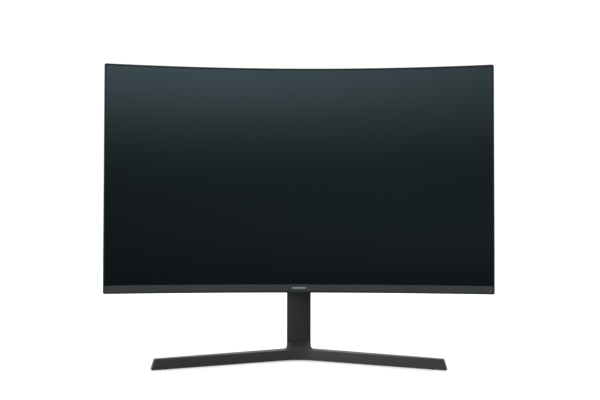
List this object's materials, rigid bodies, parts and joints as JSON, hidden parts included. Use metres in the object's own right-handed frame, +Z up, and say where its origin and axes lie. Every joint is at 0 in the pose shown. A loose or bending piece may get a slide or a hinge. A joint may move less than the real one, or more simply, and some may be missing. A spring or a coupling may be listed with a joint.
{
  "type": "curved computer monitor",
  "caption": "Curved flat-backed computer monitor with thin rims and a lower chin, tilting on a slim column that stands on a V-shaped foot with slender legs.",
  "frame": {"origin": "on the table, below the middle of the monitor's bounding box", "axes": "+X to the right as the viewer sees it, +Y away from the viewer, the screen faces -Y, +Z up"},
  "size_m": [0.612, 0.1836, 0.472],
  "materials": {
    "frame_plastic": "satin",
    "chin_plastic": "satin",
    "screen_film": "anti-glare",
    "cover_plastic": "fine texture",
    "stand_plastic": "satin",
    "base_paint": "satin",
    "badge_silver": "satin",
    "zinc_steel": "plain",
    "dark_steel": "blackened",
    "optical_film": "translucent",
    "acrylic": "clear",
    "circuit_board": "solder mask",
    "bare_aluminium": "plain",
    "rubber": "matte",
    "stick_plastic": "satin",
    "light_lens": "frosted"
  },
  "bodies": {
    "stand": {"hinge_block": "dark_steel", "hinge_cover": "stand_plastic", "neck_core": "dark_steel", "column_front_cover": "stand_plastic", "column_rear_cover": "stand_plastic", "cable_clip": "stand_plastic", "base_casting": "base_paint", "foot_pad_1": "rubber", "foot_pad_2": "rubber", "foot_pad_3": "rubber", "foot_pad_4": "rubber", "foot_pad_5": "rubber", "base_screw_1": "zinc_steel", "base_screw_2": "zinc_steel"},
    "head": {"middle_frame": "frame_plastic", "chin_trim": "chin_plastic", "badge_blank": "badge_silver", "lcd_cell": "screen_film", "diffuser_sheet": "optical_film", "prism_sheet": "optical_film", "light_guide": "acrylic", "reflector_sheet": "optical_film", "led_bar": "circuit_board", "backlight_tray": "zinc_steel", "panel_driver_board": "circuit_board", "flat_cable": "optical_film", "electronics_chassis": "zinc_steel", "mount_plate": "zinc_steel", "main_board": "circuit_board", "heat_sink": "bare_aluminium", "led_driver_board": "circuit_board", "connector_plate": "zinc_steel", "hdmi_socket_1": "zinc_steel", "hdmi_socket_2": "zinc_steel", "displayport_socket": "zinc_steel", "audio_socket": "stick_plastic", "power_inlet": "stick_plastic", "power_light_pipe": "light_lens", "rear_cover": "cover_plastic", "cover_screw_1": "dark_steel", "cover_screw_2": "dark_steel", "cover_screw_3": "dark_steel", "cover_screw_4": "dark_steel", "stick_board": "circuit_board", "stick_housing": "stick_plastic", "tilt_bracket": "dark_steel", "bracket_screw_1": "zinc_steel", "bracket_screw_2": "zinc_steel", "bracket_screw_3": "zinc_steel", "bracket_screw_4": "zinc_steel", "hinge_shaft": "zinc_steel", "friction_washer_left": "dark_steel", "friction_washer_right": "dark_steel", "spring_washer": "zinc_steel", "hinge_nut": "zinc_steel"},
    "stick_lean": {"stick_gimbal": "zinc_steel"},
    "stick_nod": {"stick_carrier": "zinc_steel"},
    "stick_press": {"stick_cap": "stick_plastic"}
  },
  "joints": [
    {"name": "tilt", "type": "hinge", "parent": "stand", "child": "head", "pos_m": [0, 0.042, 0.292], "axis": [-1, 0, 0], "range_deg": [-5, 20]},
    {"name": "stick_left_right", "type": "hinge", "parent": "head", "child": "stick_lean", "pos_m": [0.22728, -0.03295, 0.138], "axis": [0, 0, 1], "range_deg": [-6, 6], "stiffness_Nm_per_rad": 0.15},
    {"name": "stick_up_down", "type": "hinge", "parent": "stick_lean", "child": "stick_nod", "pos_m": [0.22728, -0.03295, 0.138], "axis": [0.9887, -0.1501, 0], "range_deg": [-6, 6], "stiffness_Nm_per_rad": 0.15},
    {"name": "stick_push", "type": "slide", "parent": "stick_nod", "child": "stick_press", "axis": [-0.1501, -0.9887, 0], "range_m": [0, 0.0006], "stiffness_N_per_m": 2500}
  ]
}
